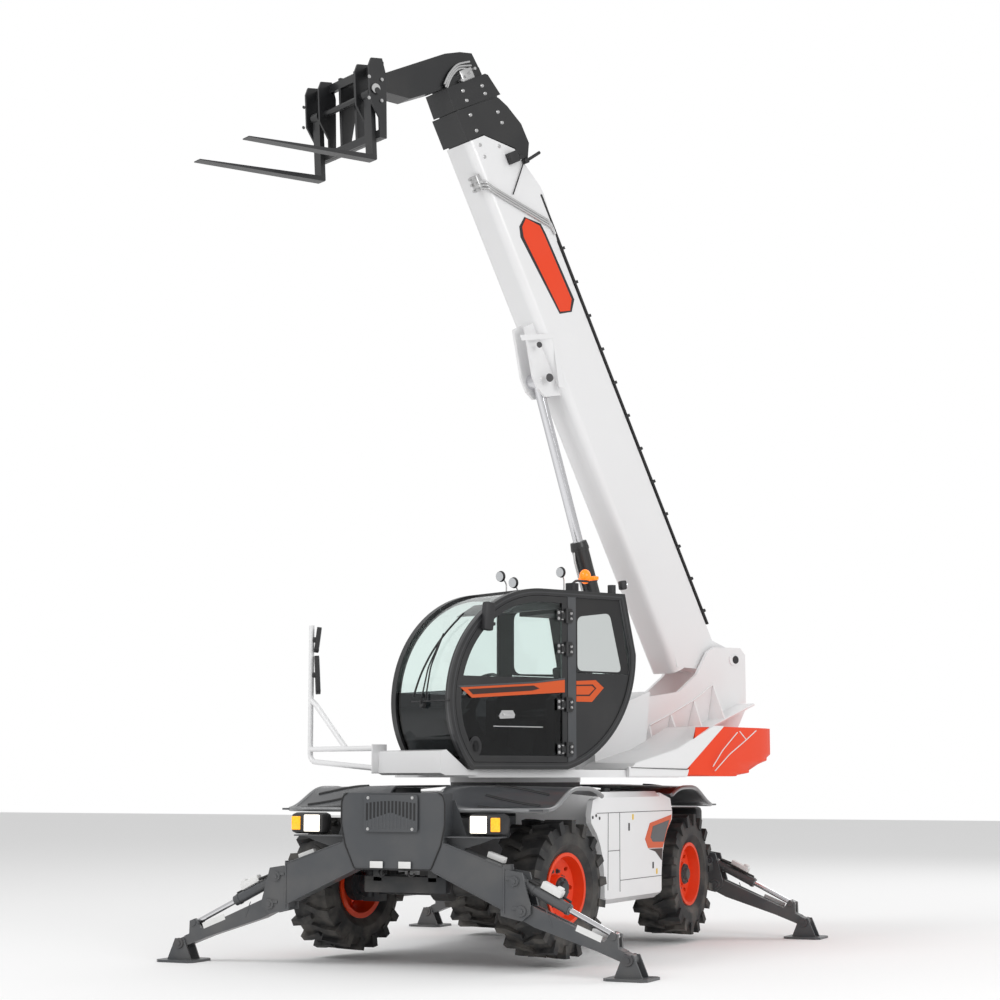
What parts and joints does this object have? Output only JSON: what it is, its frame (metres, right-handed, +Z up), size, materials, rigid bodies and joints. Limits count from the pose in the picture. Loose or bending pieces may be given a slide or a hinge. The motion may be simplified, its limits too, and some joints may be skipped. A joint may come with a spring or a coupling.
{
  "type": "rotating telehandler",
  "caption": "Rotating telehandler on stabilizers: slewing turret with cab, luffing telescopic boom with fork carriage, steered wheels and folding legs.",
  "frame": {"origin": "on the ground, on the slew axis, between the four stabilizer pads", "axes": "+Z up along the slew axis, -Y to the chassis front, +X to its left side; the turret is stored slewed 28 degrees to its right"},
  "size_m": [4.59, 5.7973, 8.6096],
  "materials": {
    "grey_paint": "satin",
    "white_paint": "gloss",
    "orange_paint": "gloss",
    "black_paint": "satin",
    "tyre": "matte",
    "steel": "polished",
    "glass": "clear",
    "lamp": "gloss",
    "cushion": "woven",
    "dark_plastic": "matte"
  },
  "bodies": {
    "chassis": {"chassis_frame": "grey_paint", "front_axle": "grey_paint", "rear_axle": "grey_paint", "engine_block": "grey_paint", "engine_hood": "white_paint", "tank_box": "white_paint", "fenders": "grey_paint", "headlamps": "lamp", "slew_ring": "grey_paint"},
    "turret": {"turret_frame": "white_paint", "counterweight": "orange_paint", "machinery_cover": "white_paint", "cab_frame": "black_paint", "cab_glass": "glass", "seat": "cushion", "console": "dark_plastic", "roof_lamps": "lamp", "mirror_guard": "white_paint"},
    "cab_door": {"cab_door": "black_paint", "door_glass": "glass"},
    "boom": {"boom_base": "white_paint"},
    "section_2": {"boom_section_2": "black_paint"},
    "section_3": {"boom_section_3": "black_paint"},
    "head": {"boom_head": "black_paint"},
    "lift_rod": {"lift_rod": "steel"},
    "lift_barrel": {"lift_barrel": "black_paint"},
    "carriage": {"carriage": "black_paint", "forks": "black_paint"},
    "knuckle_front_left": {"knuckle_front_left": "grey_paint"},
    "wheel_front_left": {"rim_front_left": "orange_paint", "tyre_front_left": "tyre"},
    "knuckle_front_right": {"knuckle_front_right": "grey_paint"},
    "wheel_front_right": {"rim_front_right": "orange_paint", "tyre_front_right": "tyre"},
    "knuckle_rear_left": {"knuckle_rear_left": "grey_paint"},
    "wheel_rear_left": {"rim_rear_left": "orange_paint", "tyre_rear_left": "tyre"},
    "knuckle_rear_right": {"knuckle_rear_right": "grey_paint"},
    "wheel_rear_right": {"rim_rear_right": "orange_paint", "tyre_rear_right": "tyre"},
    "leg_front_left": {"leg_front_left": "grey_paint"},
    "leg_barrel_front_left": {"leg_barrel_front_left": "grey_paint"},
    "leg_rod_front_left": {"leg_rod_front_left": "steel"},
    "pad_front_left": {"pad_front_left": "grey_paint"},
    "leg_front_right": {"leg_front_right": "grey_paint"},
    "leg_barrel_front_right": {"leg_barrel_front_right": "grey_paint"},
    "leg_rod_front_right": {"leg_rod_front_right": "steel"},
    "pad_front_right": {"pad_front_right": "grey_paint"},
    "leg_rear_left": {"leg_rear_left": "grey_paint"},
    "leg_barrel_rear_left": {"leg_barrel_rear_left": "grey_paint"},
    "leg_rod_rear_left": {"leg_rod_rear_left": "steel"},
    "pad_rear_left": {"pad_rear_left": "grey_paint"},
    "leg_rear_right": {"leg_rear_right": "grey_paint"},
    "leg_barrel_rear_right": {"leg_barrel_rear_right": "grey_paint"},
    "leg_rod_rear_right": {"leg_rod_rear_right": "steel"},
    "pad_rear_right": {"pad_rear_right": "grey_paint"}
  },
  "joints": [
    {"name": "slew", "type": "hinge", "parent": "chassis", "child": "turret", "pos_m": [0, 0, 1.555], "axis": [0, 0, 1], "continuous": true},
    {"name": "cab_door_hinge", "type": "hinge", "parent": "turret", "child": "cab_door", "pos_m": [0.90982, -0.87903, 2.45], "axis": [0, 0, 1], "range_deg": [0, 90]},
    {"name": "boom_luff", "type": "hinge", "parent": "turret", "child": "boom", "pos_m": [1.19995, 2.36328, 2.79], "axis": [-0.8829, 0.4695, 0], "range_deg": [-62.45, 17.55]},
    {"name": "telescope_2", "type": "slide", "parent": "boom", "child": "section_2", "axis": [-0.2171, -0.4084, 0.8866], "range_m": [0, 4.9]},
    {"name": "telescope_3", "type": "slide", "parent": "section_2", "child": "section_3", "axis": [-0.2171, -0.4084, 0.8866], "range_m": [0, 4.9]},
    {"name": "telescope_4", "type": "slide", "parent": "section_3", "child": "head", "axis": [-0.2171, -0.4084, 0.8866], "range_m": [0, 4.9]},
    {"name": "lift_rod_swing", "type": "hinge", "parent": "boom", "child": "lift_rod", "pos_m": [0.10317, 0.30053, 5.47377], "axis": [-0.8829, 0.4695, 0], "range_deg": [-6, 2]},
    {"name": "lift_cylinder_slide", "type": "slide", "parent": "lift_rod", "child": "lift_barrel", "axis": [0.1476, 0.2776, -0.9493], "range_m": [-1.43, 0.41]},
    {"name": "carriage_tilt", "type": "hinge", "parent": "head", "child": "carriage", "pos_m": [-0.81408, -1.42456, 8.09], "axis": [0.8829, -0.4695, 0], "range_deg": [-78, 40]},
    {"name": "steer_front_left", "type": "hinge", "parent": "chassis", "child": "knuckle_front_left", "pos_m": [0.735, -1.51, 0.657], "axis": [0, 0, 1], "range_deg": [-20.5, 39.5]},
    {"name": "wheel_spin_front_left", "type": "hinge", "parent": "knuckle_front_left", "child": "wheel_front_left", "pos_m": [1.01609, -1.55704, 0.657], "axis": [0.9863, -0.165, 0], "continuous": true},
    {"name": "steer_front_right", "type": "hinge", "parent": "chassis", "child": "knuckle_front_right", "pos_m": [-0.735, -1.51, 0.657], "axis": [0, 0, 1], "range_deg": [-20.5, 39.5]},
    {"name": "wheel_spin_front_right", "type": "hinge", "parent": "knuckle_front_right", "child": "wheel_front_right", "pos_m": [-1.01609, -1.46296, 0.657], "axis": [0.9863, -0.165, 0], "continuous": true},
    {"name": "steer_rear_left", "type": "hinge", "parent": "chassis", "child": "knuckle_rear_left", "pos_m": [0.735, 1.51, 0.657], "axis": [0, 0, 1], "range_deg": [-30, 30]},
    {"name": "wheel_spin_rear_left", "type": "hinge", "parent": "knuckle_rear_left", "child": "wheel_rear_left", "pos_m": [1.02, 1.51, 0.657], "axis": [1, 0, 0], "continuous": true},
    {"name": "steer_rear_right", "type": "hinge", "parent": "chassis", "child": "knuckle_rear_right", "pos_m": [-0.735, 1.51, 0.657], "axis": [0, 0, 1], "range_deg": [-30, 30]},
    {"name": "wheel_spin_rear_right", "type": "hinge", "parent": "knuckle_rear_right", "child": "wheel_rear_right", "pos_m": [-1.02, 1.51, 0.657], "axis": [1, 0, 0], "continuous": true},
    {"name": "leg_hinge_front_left", "type": "hinge", "parent": "chassis", "child": "leg_front_left", "pos_m": [1.187, -2.42, 0.521], "axis": [0, -1, 0], "range_deg": [-4, 98]},
    {"name": "leg_barrel_hinge_front_left", "type": "hinge", "parent": "chassis", "child": "leg_barrel_front_left", "pos_m": [1.124, -2.42, 0.759], "axis": [0, -1, 0], "range_deg": [-4.7, 103.5]},
    {"name": "leg_rod_slide_front_left", "type": "slide", "parent": "leg_barrel_front_left", "child": "leg_rod_front_left", "axis": [0.8965, 0, -0.443], "range_m": [-0.3699, 0.0189]},
    {"name": "pad_hinge_front_left", "type": "hinge", "parent": "leg_front_left", "child": "pad_front_left", "pos_m": [2.107, -2.42, 0.16], "axis": [0, 1, 0], "range_deg": [-15, 45]},
    {"name": "leg_hinge_front_right", "type": "hinge", "parent": "chassis", "child": "leg_front_right", "pos_m": [-1.187, -2.42, 0.521], "axis": [0, 1, 0], "range_deg": [-4, 98]},
    {"name": "leg_barrel_hinge_front_right", "type": "hinge", "parent": "chassis", "child": "leg_barrel_front_right", "pos_m": [-1.124, -2.42, 0.759], "axis": [0, 1, 0], "range_deg": [-4.7, 103.5]},
    {"name": "leg_rod_slide_front_right", "type": "slide", "parent": "leg_barrel_front_right", "child": "leg_rod_front_right", "axis": [-0.8965, 0, -0.443], "range_m": [-0.3699, 0.0189]},
    {"name": "pad_hinge_front_right", "type": "hinge", "parent": "leg_front_right", "child": "pad_front_right", "pos_m": [-2.107, -2.42, 0.16], "axis": [0, -1, 0], "range_deg": [-15, 45]},
    {"name": "leg_hinge_rear_left", "type": "hinge", "parent": "chassis", "child": "leg_rear_left", "pos_m": [1.187, 2.42, 0.521], "axis": [0, -1, 0], "range_deg": [-4, 98]},
    {"name": "leg_barrel_hinge_rear_left", "type": "hinge", "parent": "chassis", "child": "leg_barrel_rear_left", "pos_m": [1.124, 2.42, 0.759], "axis": [0, -1, 0], "range_deg": [-4.7, 103.5]},
    {"name": "leg_rod_slide_rear_left", "type": "slide", "parent": "leg_barrel_rear_left", "child": "leg_rod_rear_left", "axis": [0.8965, 0, -0.443], "range_m": [-0.3699, 0.0189]},
    {"name": "pad_hinge_rear_left", "type": "hinge", "parent": "leg_rear_left", "child": "pad_rear_left", "pos_m": [2.107, 2.42, 0.16], "axis": [0, 1, 0], "range_deg": [-15, 45]},
    {"name": "leg_hinge_rear_right", "type": "hinge", "parent": "chassis", "child": "leg_rear_right", "pos_m": [-1.187, 2.42, 0.521], "axis": [0, 1, 0], "range_deg": [-4, 98]},
    {"name": "leg_barrel_hinge_rear_right", "type": "hinge", "parent": "chassis", "child": "leg_barrel_rear_right", "pos_m": [-1.124, 2.42, 0.759], "axis": [0, 1, 0], "range_deg": [-4.7, 103.5]},
    {"name": "leg_rod_slide_rear_right", "type": "slide", "parent": "leg_barrel_rear_right", "child": "leg_rod_rear_right", "axis": [-0.8965, 0, -0.443], "range_m": [-0.3699, 0.0189]},
    {"name": "pad_hinge_rear_right", "type": "hinge", "parent": "leg_rear_right", "child": "pad_rear_right", "pos_m": [-2.107, 2.42, 0.16], "axis": [0, -1, 0], "range_deg": [-15, 45]}
  ],
  "couplings": [
    {"joint": "telescope_3", "follows": "telescope_2", "ratio": 1},
    {"joint": "telescope_4", "follows": "telescope_2", "ratio": 1},
    {"joint": "lift_rod_swing", "follows": "boom_luff", "ratio": 0.09},
    {"joint": "lift_cylinder_slide", "follows": "boom_luff", "m_per_rad": 1.304},
    {"joint": "steer_front_right", "follows": "steer_front_left", "ratio": 1},
    {"joint": "steer_rear_right", "follows": "steer_rear_left", "ratio": 1},
    {"joint": "leg_barrel_hinge_front_left", "follows": "leg_hinge_front_left", "ratio": 1.0511},
    {"joint": "leg_rod_slide_front_left", "follows": "leg_hinge_front_left", "m_per_rad": -0.2139},
    {"joint": "leg_barrel_hinge_front_right", "follows": "leg_hinge_front_right", "ratio": 1.0511},
    {"joint": "leg_rod_slide_front_right", "follows": "leg_hinge_front_right", "m_per_rad": -0.2139},
    {"joint": "leg_barrel_hinge_rear_left", "follows": "leg_hinge_rear_left", "ratio": 1.0511},
    {"joint": "leg_rod_slide_rear_left", "follows": "leg_hinge_rear_left", "m_per_rad": -0.2139},
    {"joint": "leg_barrel_hinge_rear_right", "follows": "leg_hinge_rear_right", "ratio": 1.0511},
    {"joint": "leg_rod_slide_rear_right", "follows": "leg_hinge_rear_right", "m_per_rad": -0.2139}
  ]
}
